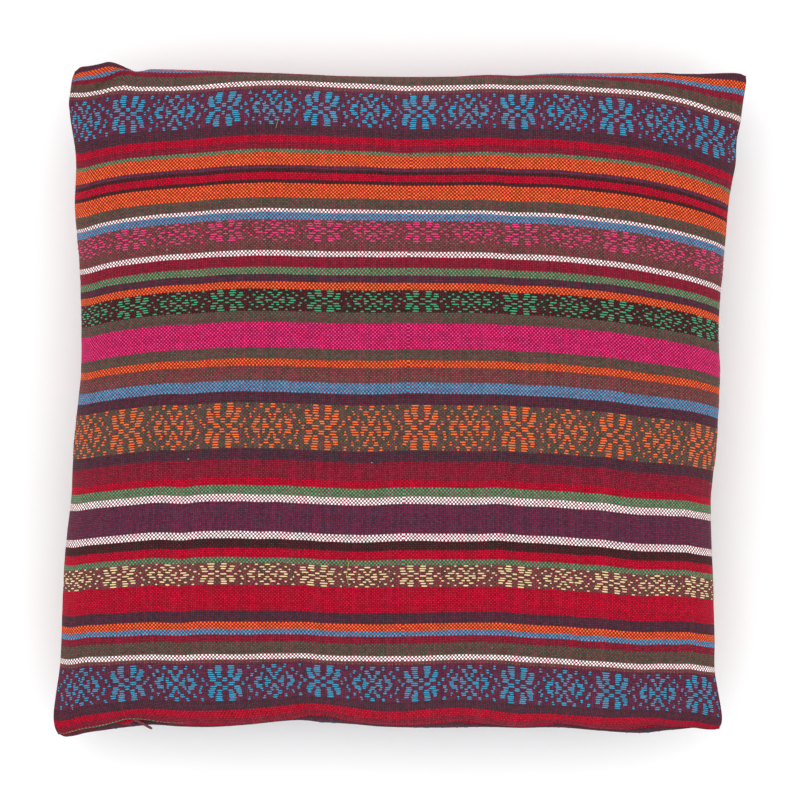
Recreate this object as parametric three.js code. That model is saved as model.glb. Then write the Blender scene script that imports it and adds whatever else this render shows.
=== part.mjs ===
import * as THREE from 'three';

// Square throw pillow: a striped handwoven cover, zipped along its lower edge, round a soft filling.
// Millimetres. The pillow lies on its back: the striped face looks up (+Z) and the zipped edge lies
// towards -Y. The origin is on the surface below the middle of the pillow.

// Driving dimensions
const COVER_SIDE = 450;
const HALF = COVER_SIDE / 2;
const EQUATOR_HEIGHT = 49;
const FRONT_CROWN = 53;
const BACK_CROWN = 54;

// The filled section is a flattened arch. A higher squareness gives a flatter top and fuller shoulders.
const ARCH_SQUARENESS = 3.0;
const ARCH_STEPS = 400;

// How far the cover has crept round the filling: the top seam lies behind the edge, the placket in front
const TOP_SEAM_CREEP = 20;
const PLACKET_CREEP = 12.5;
const CREEP_FADE_POWER = 6;

// Seams: a shallow sewn groove all round, and a deeper one between the two lips of the placket
const SEAM_GROOVE = 1.2;
const SEAM_WIDTH = 3;
const PLACKET_GROOVE = 3.2;
const LIP_ROLL = 1.0;
const CORNER_CLEARANCE = 28;
// An odd power, so that outward points away from the nearest side, and diagonally only at a corner
const OUTWARD_POWER = 5;

// Grid of the cloth panels
const CELLS = 46;
const EDGE_CROWDING = 0.28;

// Zip pull that peeks out of the placket
const PULL = {
  length: 15,
  width: 2.2,
  thickness: 1.0,
  startX: -171,
  endX: -159.2,
  endY: -212.6,
  clearance: 2.2,
};

// Outline seen from above. along: place on that side of the cover from its middle. out: how far the
// edge stands from the centre line there.
const LEFT_EDGE = [
  { along: -225, out: 220.5 },
  { along: -213, out: 222.5 },
  { along: -199, out: 221.5 },
  { along: -175, out: 218.7 },
  { along: -140, out: 217.3 },
  { along: -101, out: 215.0 },
  { along: -60, out: 211.0 },
  { along: -20, out: 209.0 },
  { along: 21, out: 205.2 },
  { along: 62, out: 204.6 },
  { along: 103, out: 206.6 },
  { along: 136, out: 209.0 },
  { along: 168, out: 208.5 },
  { along: 201, out: 212.4 },
  { along: 225, out: 209.5 },
];
const RIGHT_EDGE = [
  { along: -225, out: 205.0 },
  { along: -215, out: 206.2 },
  { along: -198, out: 204.0 },
  { along: -165, out: 202.4 },
  { along: -107, out: 200.2 },
  { along: -65, out: 200.0 },
  { along: -23, out: 204.0 },
  { along: 18, out: 205.8 },
  { along: 48, out: 204.4 },
  { along: 85, out: 207.2 },
  { along: 135, out: 211.0 },
  { along: 168, out: 215.6 },
  { along: 202, out: 220.0 },
  { along: 225, out: 222.5 },
];
const TOP_EDGE = [
  { along: -225, out: 209.0 },
  { along: -214, out: 214.2 },
  { along: -200, out: 216.8 },
  { along: -184, out: 210.6 },
  { along: -170, out: 211.7 },
  { along: -144, out: 211.0 },
  { along: -71, out: 208.5 },
  { along: -39, out: 207.2 },
  { along: 25, out: 206.7 },
  { along: 57, out: 208.0 },
  { along: 105, out: 209.1 },
  { along: 202, out: 209.3 },
  { along: 225, out: 207.5 },
];
const BOTTOM_EDGE = [
  { along: -225, out: 215.5 },
  { along: -214, out: 216.4 },
  { along: -188, out: 212.4 },
  { along: -155, out: 209.8 },
  { along: -122, out: 210.4 },
  { along: -98, out: 209.1 },
  { along: -62, out: 206.5 },
  { along: -26, out: 208.5 },
  { along: 10, out: 210.6 },
  { along: 118, out: 211.0 },
  { along: 137, out: 213.1 },
  { along: 169, out: 214.3 },
  { along: 187, out: 212.8 },
  { along: 212, out: 211.6 },
  { along: 225, out: 207.5 },
];

// Soft folds of the front, as cloth pushed in (depth) or out (a negative depth) along a line, in plan.
// Each fades to nothing at its far end.
const FOLDS = [
  { part: 'corner ear, trough', fromX: -211, fromY: 189, toX: -166, toY: 211, depth: 5.0, width: 6 },
  { part: 'corner ear, ridge', fromX: -214, fromY: 204, toX: -176, toY: 220, depth: -5.0, width: 9 },
  { part: 'left shoulder dent', fromX: -214, fromY: 158, toX: -178, toY: 146, depth: 2.6, width: 8 },
  { part: 'pucker beside the zip pull', fromX: -163, fromY: -214, toX: -152, toY: -168, depth: 3.0, width: 10 },
  { part: 'pucker left of the middle', fromX: -61, fromY: -212, toX: -66, toY: -150, depth: 3.6, width: 13 },
  { part: 'crease near the right corner', fromX: 162, fromY: -218, toX: 160, toY: -190, depth: 3.4, width: 5 },
  { part: 'tuck at the right corner', fromX: 192, fromY: -216, toX: 182, toY: -196, depth: 2.4, width: 5 },
  { part: 'lower left shoulder', fromX: -226, fromY: -184, toX: -190, toY: -180, depth: 2.2, width: 7 },
];
// The folds die out towards the seams: their strength is a share at the edge and grows with the crown
const FOLD_AT_EDGE = 0.25;
const FOLD_ONSET = 3;

// How far each corner lifts from, or droops below, the level of the sides
const CORNER_LIFTS = { upperLeft: 6, upperRight: -3, lowerLeft: -4, lowerRight: 4 };
const CORNER_SHARPNESS = 3;

const COLOURS = {
  cloth: 0x8c2a3a,
  pull: 0x6b1f2e,
};

const clamp = (value, low, high) => Math.min(high, Math.max(low, value));
const lerp = (a, b, share) => a + (b - a) * share;

// A smooth curve through the rows of an outline table
function edgeCurve(rows) {
  const slopes = rows.map((row, i) => {
    const before = rows[Math.max(i - 1, 0)];
    const after = rows[Math.min(i + 1, rows.length - 1)];
    return (after.out - before.out) / (after.along - before.along);
  });
  return (along) => {
    const place = clamp(along, -HALF, HALF);
    const i = clamp(rows.findIndex((row) => row.along >= place), 1, rows.length - 1) - 1;
    const span = rows[i + 1].along - rows[i].along;
    const x = (place - rows[i].along) / span;
    const start = (1 + 2 * x) * (1 - x) ** 2 * rows[i].out + x * (1 - x) ** 2 * span * slopes[i];
    const end = x * x * (3 - 2 * x) * rows[i + 1].out + x * x * (x - 1) * span * slopes[i + 1];
    return start + end;
  };
}

const leftEdge = edgeCurve(LEFT_EDGE);
const rightEdge = edgeCurve(RIGHT_EDGE);
const topEdge = edgeCurve(TOP_EDGE);
const bottomEdge = edgeCurve(BOTTOM_EDGE);

// The arch of the filled section: places are given by the length of cloth from the crown, 0 to 1
function archSamples() {
  const halfWidth = (leftEdge(0) + rightEdge(0)) / 2;
  const samples = [{ length: 0, along: 0, lift: 1 }];
  for (let i = 1; i <= ARCH_STEPS; i += 1) {
    const angle = ((i / ARCH_STEPS) * Math.PI) / 2;
    const along = Math.sin(angle) ** (2 / ARCH_SQUARENESS);
    const lift = i === ARCH_STEPS ? 0 : Math.cos(angle);
    const last = samples[samples.length - 1];
    const step = Math.hypot((along - last.along) * halfWidth, (lift - last.lift) * FRONT_CROWN);
    samples.push({ length: last.length + step, along, lift });
  }
  const whole = samples[ARCH_STEPS].length;
  return samples.map((sample) => ({ ...sample, length: sample.length / whole }));
}

const ARCH = archSamples();

// Reads the arch at a place from -1 at one edge to 1 at the other
function arch(place) {
  const length = Math.min(Math.abs(place), 1);
  const i = clamp(ARCH.findIndex((sample) => sample.length >= length), 1, ARCH_STEPS) - 1;
  const share = (length - ARCH[i].length) / (ARCH[i + 1].length - ARCH[i].length);
  return {
    along: Math.sign(place) * lerp(ARCH[i].along, ARCH[i + 1].along, share),
    lift: lerp(ARCH[i].lift, ARCH[i + 1].lift, share),
  };
}

// How deep the folds press the front in at a point
function foldDepth(x, y) {
  let depth = 0;
  for (const fold of FOLDS) {
    const dx = fold.toX - fold.fromX;
    const dy = fold.toY - fold.fromY;
    const length = Math.hypot(dx, dy);
    const onward = ((x - fold.fromX) * dx + (y - fold.fromY) * dy) / length;
    const aside = ((x - fold.fromX) * dy - (y - fold.fromY) * dx) / length;
    const fade = clamp(1 - Math.max(onward, 0) / length, 0, 1);
    depth += fold.depth * Math.exp(-((aside / fold.width) ** 2)) * fade * (2 - fade);
  }
  return depth;
}

// The height of the outline, which waves gently from corner to corner
function equatorHeight(across, up) {
  const side = across < 0 ? 'Left' : 'Right';
  const lift = CORNER_LIFTS[(up < 0 ? 'lower' : 'upper') + side];
  return EQUATOR_HEIGHT + lift * Math.abs(across * up) ** CORNER_SHARPNESS;
}

// A point of the filled cover. across runs from -1 to 1, left to right. round runs over the front from
// -1 at the lower edge to 1 at the upper edge, and on over the back to 3, the lower edge again.
function coverPoint(across, round) {
  const turned = round > 3 ? round - 4 : round;
  const behind = turned > 1;
  const up = behind ? 2 - turned : turned;
  const acrossArch = arch(across);
  const upArch = arch(up);
  const spreadX = lerp(across, acrossArch.along, upArch.lift);
  const spreadY = lerp(up, upArch.along, acrossArch.lift);
  const x = lerp(-leftEdge(spreadY * HALF), rightEdge(spreadY * HALF), (spreadX + 1) / 2);
  const y = lerp(-bottomEdge(spreadX * HALF), topEdge(spreadX * HALF), (spreadY + 1) / 2);
  const lift = acrossArch.lift * upArch.lift;
  const level = equatorHeight(across, up);
  if (behind) {
    return new THREE.Vector3(x, y, Math.max(level - BACK_CROWN * lift, 0));
  }
  const pressed = foldDepth(x, y) * clamp(lift * FOLD_ONSET + FOLD_AT_EDGE, 0, 1);
  return new THREE.Vector3(x, y, level + FRONT_CROWN * lift - pressed);
}

// Where the upper and lower seams of a panel run round the section, at a place across
function seamRounds(across) {
  const fade = 1 - Math.abs(across) ** CREEP_FADE_POWER;
  return {
    top: 1 + (TOP_SEAM_CREEP / HALF) * fade,
    placket: -1 + (PLACKET_CREEP / HALF) * fade,
  };
}

// Grid lines from seam to seam, crowded towards the seams, with one close beside each seam
function gridLines() {
  const lines = [];
  for (let i = 0; i <= CELLS; i += 1) {
    const even = (2 * i) / CELLS - 1;
    lines.push(even * (1 + EDGE_CROWDING) - even ** 3 * EDGE_CROWDING);
  }
  const beside = 1 - SEAM_WIDTH / HALF;
  lines[1] = -beside;
  lines[CELLS - 1] = beside;
  return lines;
}

// The whole cushion: front and back panels that share their seams
function cushionGeometry() {
  const lines = gridLines();
  const last = lines.length - 1;
  const positions = [];
  const indexOf = new Map();
  const vertex = (side, i, j) => {
    const seam = i === 0 || i === last || j === 0 || j === last;
    const key = seam ? `seam ${i} ${j}` : `${side} ${i} ${j}`;
    if (!indexOf.has(key)) {
      indexOf.set(key, positions.length / 3);
      positions.push(...panelPoint(side, lines, i, j).toArray());
    }
    return indexOf.get(key);
  };
  const triangles = [];
  for (const side of ['front', 'back']) {
    for (let i = 0; i < last; i += 1) {
      for (let j = 0; j < last; j += 1) {
        const lower = [vertex(side, i, j), vertex(side, i + 1, j)];
        const upper = [vertex(side, i + 1, j + 1), vertex(side, i, j + 1)];
        const corners = [...lower, ...upper];
        if (side === 'back') {
          corners.reverse();
        }
        const [a, b, c, d] = corners;
        triangles.push(a, b, c, a, c, d);
      }
    }
  }
  const geometry = new THREE.BufferGeometry();
  geometry.setAttribute('position', new THREE.Float32BufferAttribute(positions, 3));
  geometry.setIndex(triangles);
  geometry.computeVertexNormals();
  return geometry;
}

// One grid point of a panel, with the seam grooves and the rolled lips of the placket
function panelPoint(side, lines, i, j) {
  const last = lines.length - 1;
  const across = lines[i];
  const seams = seamRounds(across);
  const share = (lines[j] + 1) / 2;
  const round = side === 'front' || j === 0 || j === last
    ? lerp(seams.placket, seams.top, share)
    : lerp(seams.placket + 4, seams.top, share);
  const point = coverPoint(across, round);
  const up = 2 * share - 1;
  const outward = new THREE.Vector3(across ** OUTWARD_POWER, up ** OUTWARD_POWER, 0);
  if (outward.lengthSq() > 0) {
    outward.normalize();
  }
  const fromCorner = Math.min(1, (1 - Math.min(Math.abs(across), Math.abs(up))) * HALF / CORNER_CLEARANCE);
  if (j === 0) {
    point.addScaledVector(outward, -lerp(SEAM_GROOVE, PLACKET_GROOVE, fromCorner));
  } else if (i === 0 || i === last || j === last) {
    point.addScaledVector(outward, -SEAM_GROOVE);
  } else if (j === 1) {
    point.addScaledVector(outward, LIP_ROLL * fromCorner);
  }
  return point;
}

// The pull is a slim tab with round ends, out of the placket and down over the edge
function pullGeometry() {
  const radius = PULL.width / 2;
  const straight = PULL.length / 2 - radius;
  const outline = new THREE.Shape();
  outline.absarc(straight, 0, radius, -Math.PI / 2, Math.PI / 2, false);
  outline.absarc(-straight, 0, radius, Math.PI / 2, (3 * Math.PI) / 2, false);
  const geometry = new THREE.ExtrudeGeometry(outline, {
    depth: PULL.thickness,
    bevelEnabled: false,
    curveSegments: 8,
  });
  geometry.translate(0, 0, -PULL.thickness / 2);
  return geometry;
}

function placePull(mesh) {
  const across = PULL.startX / ((leftEdge(-HALF) + rightEdge(-HALF)) / 2);
  const mouth = coverPoint(across, seamRounds(across).placket);
  const start = new THREE.Vector3(PULL.startX, mouth.y, mouth.z + PULL.clearance + PULL.thickness / 2);
  const reach = Math.hypot(PULL.endX - start.x, PULL.endY - start.y);
  const drop = Math.sqrt(Math.max(PULL.length ** 2 - reach ** 2, 0));
  const end = new THREE.Vector3(PULL.endX, PULL.endY, start.z - drop);
  const along = end.clone().sub(start).normalize();
  const side = new THREE.Vector3(0, 0, 1).cross(along).normalize();
  const face = along.clone().cross(side);
  mesh.position.copy(start).add(end).multiplyScalar(0.5);
  mesh.quaternion.setFromRotationMatrix(new THREE.Matrix4().makeBasis(along, side, face));
}

function namedMesh(name, geometry, color, roughness, metalness) {
  const mesh = new THREE.Mesh(geometry, new THREE.MeshStandardMaterial({ color, roughness, metalness }));
  mesh.name = name;
  return mesh;
}

const pillow = new THREE.Group();
pillow.add(namedMesh('cushion', cushionGeometry(), COLOURS.cloth, 0.9, 0));
const pull = namedMesh('zip_pull', pullGeometry(), COLOURS.pull, 0.45, 0.1);
placePull(pull);
pillow.add(pull);

export default pillow;
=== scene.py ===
import bpy
import numpy as np
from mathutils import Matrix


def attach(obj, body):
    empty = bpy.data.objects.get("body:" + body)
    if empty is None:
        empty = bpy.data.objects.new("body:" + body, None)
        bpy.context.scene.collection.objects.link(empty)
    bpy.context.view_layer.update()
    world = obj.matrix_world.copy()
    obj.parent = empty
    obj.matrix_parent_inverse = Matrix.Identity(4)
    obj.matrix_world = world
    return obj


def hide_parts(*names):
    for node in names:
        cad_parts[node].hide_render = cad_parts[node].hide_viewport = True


# Square throw pillow, dressed: handwoven cover panels with raised flower yarns, a placket and a zip pull.
# Lengths are millimetres in the part's frame until a mesh is made. The striped face looks up.

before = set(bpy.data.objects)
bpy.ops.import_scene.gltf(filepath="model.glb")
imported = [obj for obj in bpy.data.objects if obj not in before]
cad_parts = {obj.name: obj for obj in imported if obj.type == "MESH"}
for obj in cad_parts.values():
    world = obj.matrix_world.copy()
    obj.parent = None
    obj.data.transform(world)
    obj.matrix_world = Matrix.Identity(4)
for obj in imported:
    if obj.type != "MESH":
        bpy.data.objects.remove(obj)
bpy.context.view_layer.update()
MM = 0.001
RANDOM = np.random.default_rng(450)

# The filled cover

COVER_SIDE = 450.0
HALF = COVER_SIDE / 2
EQUATOR_HEIGHT = 49.0
FRONT_CROWN = 53.0
BACK_CROWN = 54.0
ARCH_SQUARENESS = 3.0
ARCH_STEPS = 400
CORNER_SHARPNESS = 3
# How much of the outline's lean to one side the middle of the cloth takes up
MIDDLE_LEAN = 0.45
# Lift of each corner above the level of the sides: lower left, lower right, upper left, upper right
CORNER_LIFTS = (-4.0, 4.0, 6.0, -3.0)

# Outline seen from above: (place along that side from its middle, distance out from the centre line)
LEFT_EDGE = (
    (-225, 220.5), (-213, 222.5), (-199, 221.5), (-175, 218.7), (-140, 217.3), (-101, 215.0),
    (-60, 211.0), (-20, 209.0), (21, 205.2), (62, 204.6), (103, 206.6), (136, 209.0), (168, 208.5),
    (201, 212.4), (225, 209.5),
)
RIGHT_EDGE = (
    (-225, 206.4), (-215, 207.2), (-198, 205.1), (-186, 203.3), (-178, 202.9), (-165, 203.1),
    (-136, 202.4), (-107, 201.3), (-65, 200.1), (-35, 203.4), (-23, 204.3), (18, 206.2), (48, 205.1),
    (68, 206.2), (95, 208.3), (138, 212.4), (152, 214.6), (163, 216.6), (180, 217.4), (192, 219.6),
    (202, 220.6), (210, 221.6), (225, 223.8),
)
TOP_EDGE = (
    (-225, 210.8), (-220, 212.9), (-214, 213.7), (-207, 215.1), (-200, 216.4), (-192, 214.3),
    (-187, 211.9), (-182, 210.0), (-177, 210.5), (-171, 211.6), (-144, 211.0), (-71, 208.5), (-39, 207.2),
    (25, 206.7), (57, 208.0), (76, 207.6), (92, 208.6), (105, 209.1), (188, 209.2), (203, 209.4),
    (216, 209.4), (225, 208.4),
)
# The same side below the turned corner at its upper left
INNER_TOP = ((-225, 209.0), (-205, 211.5), (-184, 211.8)) + TOP_EDGE[9:]
BOTTOM_EDGE = (
    (-225, 217.0), (-219, 217.7), (-214, 217.1), (-205, 214.9), (-188, 212.6), (-165, 210.0),
    (-155, 210.2), (-143, 211.0), (-122, 211.2), (-98, 209.7), (-75, 207.4), (-62, 206.8), (-50, 208.1),
    (-40, 208.6), (-26, 209.5), (-10, 210.9), (10, 211.5), (31, 211.6), (60, 211.3), (85, 211.8),
    (105, 211.4), (118, 211.8), (137, 213.4), (169, 214.9), (187, 213.2), (197, 212.4), (206, 211.6),
    (213, 212.4), (225, 213.2),
)

# Upper and lower shoulders: (length of cloth from the edge, how far in that reaches in plan)
SHOULDER = (
    (0, 0), (3, 0.8), (8, 3.7), (12, 7.2), (16.5, 11.3), (27, 20.2), (42, 33.5), (57, 47.7), (80, 70.2),
    (120, 110), (240, 230),
)
# How far short of its own length the cloth falls down each side seam: (length of cloth, shortfall)
LEFT_SLACK = (
    (0, 0), (8, 6), (12, 9), (15, 11), (20, 13.8), (26, 16.2), (32, 18), (45, 17.8), (60, 17.4),
    (118, 15.8), (146, 17), (302, 22), (325, 21.8), (403, 24), (440, 23), (450, 21.6),
)
RIGHT_SLACK = (
    (0, 0), (32, 0.4), (118, 5.3), (146, 6), (302, 16.5), (325, 17), (403, 19.7), (440, 18.5), (450, 27),
)
# How much of the front panel has crept over the upper edge: (place across, length of cloth)
TOP_CREEP = (
    (-1, 0), (-0.93, 0.5), (-0.88, 1), (-0.85, 1.5), (-0.825, 4), (-0.81, 10), (-0.795, 13), (-0.775, 11),
    (-0.75, 9.5), (-0.7, 9), (-0.66, 9), (-0.45, 13), (-0.15, 18), (0, 21), (0.15, 17.5), (0.3, 12),
    (0.5, 7), (0.7, 3.5), (0.85, 0.6), (1, 0),
)
# How much higher the cloth sits than its own length would put it, at lengths of cloth from the upper seam:
# (place across, distance)
RIDE_UP = (
    (0, ((-1, 0), (1, 0))),
    (31, (
        (-1, 1), (-0.95, 0.7), (-0.88, 2.2), (-0.83, 1), (-0.77, 2.8), (-0.7, 3.1), (-0.6, 4.3),
        (-0.5, 5.7), (-0.4, 6), (-0.3, 4.8), (-0.2, 3), (-0.1, 0.6), (0, -2), (0.1, 0), (0.2, 2.9),
        (0.3, 6.3), (0.4, 8.5), (0.5, 9.5), (0.6, 10.8), (0.7, 11.3), (0.8, 10), (0.85, 7.4), (0.91, 2.6),
        (1, 0),
    )),
    (132, (
        (-1, 0.8), (-0.87, 2.3), (-0.74, 3.1), (-0.6, 4.7), (-0.5, 5.7), (-0.4, 5.1), (-0.34, 4),
        (-0.28, 2.6), (-0.1, 1.8), (0, 1.8), (0.2, 3.4), (0.3, 5.2), (0.5, 7), (0.6, 7.8), (0.68, 7.9),
        (0.74, 6.6), (0.8, 4.8), (0.86, 2.4), (0.95, 0), (1, 0),
    )),
    (313, (
        (-1, 1), (-0.92, 3), (-0.85, 0.6), (-0.78, 0.6), (-0.66, 1.7), (-0.6, 2.2), (-0.55, 4.2),
        (-0.49, 4.6), (-0.43, 3.9), (-0.38, 2.4), (-0.33, 1.2), (-0.27, -1), (-0.21, -1.2), (-0.1, -1),
        (0.01, 1.2), (0.18, 1.1), (0.24, 1.6), (0.3, 3.4), (0.4, 2.6), (0.53, 2.9), (0.59, 3.8),
        (0.65, 2.8), (0.77, 1), (0.84, 0), (0.91, -0.6), (1, 0),
    )),
    (403, (
        (-1, 0), (-0.9, 1), (-0.84, -1.4), (-0.72, -2.3), (-0.66, -1.6), (-0.6, 0), (-0.55, 1.7),
        (-0.49, 2), (-0.38, 0.4), (-0.32, -1.3), (-0.27, -2.2), (-0.15, -2.1), (-0.04, -0.1), (0.07, 0.4),
        (0.25, 1.4), (0.33, 2.1), (0.42, 0.7), (0.54, 0.4), (0.6, 1), (0.72, 0.1), (0.78, -0.8),
        (0.85, -1.8), (0.92, -1.6), (1, -1),
    )),
    (440, (
        (-1, -0.6), (-0.85, -1), (-0.78, -1.9), (-0.71, -0.5), (-0.56, 0.5), (-0.42, 1), (-0.27, 0),
        (-0.16, 0.6), (0, 0.2), (0.15, 1.5), (0.33, 0.5), (0.49, -1.8), (0.61, 0), (0.75, 0.6),
        (0.84, -3.5), (0.93, -4), (1, -4),
    )),
    (450, ((-1, 0), (1, 0))),
)
# Cloth lost in the tuck beside the turned corner: (place across, length), and its share down the cloth
TUCK = (
    (-1, 0), (-0.88, 0), (-0.862, 3), (-0.849, 6.5), (-0.83, 8.5), (-0.818, 7), (-0.805, 2), (-0.79, 0),
    (1, 0),
)
TUCK_SHARE = ((0, 0), (6.8, 0), (8, 0.06), (16, 0.95), (17.5, 1), (450, 1))
# How far in from the lower edge the front lip of the placket lies: (x, distance in plan)
LIP_INSET = (
    (-222, 1.0), (-216, 2.6), (-210, 4.6), (-202, 4.3), (-193, 4.0), (-185, 4.9), (-177, 6.4),
    (-173, 6.9), (-167, 5.6), (-158, 3.2), (-154, 2.5), (-141, 2.7), (-128, 3.0), (-115, 2.6),
    (-102, 1.6), (-90, 1.6), (-77, 1.8), (-66, 2.8), (-61, 4.5), (-54, 5.9), (-48, 5.4), (-42, 3.9),
    (-35, 2.4), (-25, 1.9), (-12, 2.2), (0, 2.3), (13, 3.3), (26, 4.8), (34, 5.0), (41, 4.4), (52, 2.8),
    (65, 1.4), (77, 1.9), (86, 3.2), (94, 3.9), (103, 3.3), (116, 2.1), (129, 1.9), (138, 2.6),
    (145, 4.4), (151, 6.0), (159, 6.4), (163, 5.9), (167, 4.8), (174, 3.6), (180, 3.0), (187, 1.0),
    (193, 1.0), (200, 0.5), (206, 0.5),
)
# How far the back panel's edge has dropped below the front lip: (x, distance)
LIP_GAP = (
    (-225, 2.6), (-197, 2.6), (-191, 0.3), (-182, 0), (-174, 0), (-170, 1.6), (-162, 2.4), (-150, 2.0),
    (-75, 1.8), (-67, 0.3), (-60, 0), (34, 0), (40, 1.6), (64, 2.0), (86, 1.6), (138, 2.2), (146, 0.6),
    (152, 0), (187, 0), (193, 1.0), (225, 1.0),
)
# How far below the front cloth the back panel lies where the two part: (x, distance)
LIP_PARTING = (
    (-225, 1.5), (-194, 1.5), (-187, 2.6), (-179, 2.4), (-176, 1.4), (-171, 1.6), (-167, 4.0),
    (-158, 4.2), (-150, 2.0), (-140, 1.5), (-66, 1.6), (-60, 3.4), (-48, 3.4), (-40, 1.6), (20, 1.6),
    (34, 2.6), (41, 3.6), (60, 3.4), (70, 1.8), (92, 1.8), (100, 3.6), (130, 3.6), (140, 2.4), (160, 2.4),
    (175, 1.6), (225, 1.5),
)
# How far the back panel's edge is bunched out beside the zip pull: (x, distance)
LIP_BUNCH = ((-225, 0), (-180, 0), (-178, 2.6), (-175, 3.2), (-172.5, 2.6), (-170.5, 0), (225, 0))

# Soft folds of the front, pressed in along a line in plan: from x, y to x, y, depth, width
FOLDS = (
    (-212, 192, -188, 212, 10.0, 3.6),
    (-192, 200, -174, 211, 8.0, 3.0),
    (-206, 208, -186, 214, -2.6, 4.5),
    (-214, 158, -178, 146, 2.6, 8),
    (-163, -214, -152, -168, 3.0, 10),
    (-61, -212, -66, -150, 3.6, 13),
    (162, -218, 160, -190, 3.4, 5),
    (192, -216, 182, -196, 2.4, 5),
    (-226, -184, -190, -180, 2.2, 7),
)
# How strong a fold still is at the outline, and how fast it deepens inside it
FOLD_AT_EDGE = 0.04
FOLD_ONSET = 3.0
# Share of the width over which lengths of cloth are evened out, and the places at which that is done
EVENNESS = 0.16
EVEN_PLACES = np.linspace(-1, 1, 401)
# Lengths of cloth among which the one that shows before the lower edge is looked up
LIP_LENGTHS = np.linspace(0, 40, 400)
# How far into the cloth these carry on: the lip's small folds, the creep over the upper edge on either
# panel, and the back panel's dropped edge and bunch
LIP_REACH = 8.0
TOP_REACH = 30.0
BACK_TOP_REACH = 10.0
GAP_REACH = 4.0
BUNCH_REACH = 12.0
# The length of cloth from the upper seam at which the tuck is whole
TUCK_END = 17.5
# Powers: how near the outline rows start to keep to it, and to take in the turned corner
EDGE_HOLD = 12
CORNER_OUTLINE_REACH = 28
# How far the corners are drawn in, and how near to them
CORNER_ROUND = 1.0
CORNER_REACH = 3.4


def curve(rows):
    """A smooth curve through the rows of a table, held level past its ends."""
    places, values = np.array(rows, float).T
    slopes = np.empty_like(values)
    slopes[1:-1] = (values[2:] - values[:-2]) / (places[2:] - places[:-2])
    slopes[0] = (values[1] - values[0]) / (places[1] - places[0])
    slopes[-1] = (values[-1] - values[-2]) / (places[-1] - places[-2])

    def read(at):
        at = np.clip(at, places[0], places[-1])
        i = np.clip(np.searchsorted(places, at) - 1, 0, len(places) - 2)
        span = places[i + 1] - places[i]
        x = (at - places[i]) / span
        start = (1 + 2 * x) * (1 - x) ** 2 * values[i] + x * (1 - x) ** 2 * span * slopes[i]
        end = x * x * (3 - 2 * x) * values[i + 1] + x * x * (x - 1) * span * slopes[i + 1]
        return start + end

    return read


def blend(a, b, share):
    return a + (b - a) * share


def share_between(value, low, high):
    """How far a value has got from low to high, from 0 to 1."""
    return np.clip((value - low) / (high - low), 0, 1)


def unit(vectors):
    return vectors / np.linalg.norm(vectors, axis=-1, keepdims=True)


left_edge, right_edge, top_edge, bottom_edge = map(curve, (LEFT_EDGE, RIGHT_EDGE, TOP_EDGE, BOTTOM_EDGE))
inner_top, tuck, tuck_share = map(curve, (INNER_TOP, TUCK, TUCK_SHARE))
lip_gap, lip_parting, lip_bunch = map(curve, (LIP_GAP, LIP_PARTING, LIP_BUNCH))
shoulder, top_creep, lip_inset = map(curve, (SHOULDER, TOP_CREEP, LIP_INSET))
left_slack, right_slack = map(curve, (LEFT_SLACK, RIGHT_SLACK))
ride_lengths = [length for length, _ in RIDE_UP]
ride_rows = [curve(row) for _, row in RIDE_UP]
LEFT_SEAM = top_edge(-HALF) + bottom_edge(-HALF)
RIGHT_SEAM = top_edge(HALF) + bottom_edge(HALF)

# The arch of the filled section, by the length of cloth from the crown
quarter_turn = np.linspace(0, np.pi / 2, ARCH_STEPS + 1)
half_width = (left_edge(0) + right_edge(0)) / 2
ARCH_ALONG = np.sin(quarter_turn) ** (2 / ARCH_SQUARENESS)
ARCH_LIFT = np.append(np.cos(quarter_turn[:-1]), 0)
arch_pieces = np.hypot(np.diff(ARCH_ALONG) * half_width, np.diff(ARCH_LIFT) * FRONT_CROWN)
ARCH_LENGTH = np.append(0, np.cumsum(arch_pieces))
ARCH_LENGTH /= ARCH_LENGTH[-1]


def arch(place):
    """How far along the section a place on the cloth lies, and its lift as a share of the crown."""
    length = np.minimum(np.abs(place), 1)
    along = np.sign(place) * np.interp(length, ARCH_LENGTH, ARCH_ALONG)
    return along, np.interp(length, ARCH_LENGTH, ARCH_LIFT)


def low_x(across):
    """Where a place across the cloth meets the lower edge."""
    return blend(-left_edge(-HALF), right_edge(-HALF), (across + 1) / 2)


def even_and_local(lengths_at, across):
    """A length that varies across the cloth, as its even part and what the small folds add to it."""
    lengths = lengths_at(EVEN_PLACES)
    reach = np.exp(-(((EVEN_PLACES[:, None] - EVEN_PLACES) / EVENNESS) ** 2))
    even = np.interp(across, EVEN_PLACES, reach @ lengths / reach.sum(1))
    return even, np.interp(across, EVEN_PLACES, lengths) - even


def lip_cloth(across):
    """How much cloth of the back panel shows before the lower edge."""
    return np.interp(lip_inset(low_x(across)), shoulder(LIP_LENGTHS), LIP_LENGTHS)


def shared_lengths(across):
    """Cloth of the front behind the upper edge, cloth of the back before the lower one, what folds add to
    that, and half the cloth on the pillow's front and back."""
    top, _ = even_and_local(lambda places: top_creep(places) + tuck(places), across)
    lip, more_lip = even_and_local(lip_cloth, across)
    return top, lip, more_lip, (COVER_SIDE - top + lip) / 2, (COVER_SIDE + top - lip) / 2


def fold_depth(x, y):
    depth = np.zeros(np.broadcast(x, y).shape)
    for from_x, from_y, to_x, to_y, deep, width in FOLDS:
        dx, dy = to_x - from_x, to_y - from_y
        length = np.hypot(dx, dy)
        onward = ((x - from_x) * dx + (y - from_y) * dy) / length
        aside = ((x - from_x) * dy - (y - from_y) * dx) / length
        fade = np.clip(1 - np.maximum(onward, 0) / length, 0, 1)
        depth += deep * np.exp(-((aside / width) ** 2)) * fade * (2 - fade)
    return depth


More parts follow.
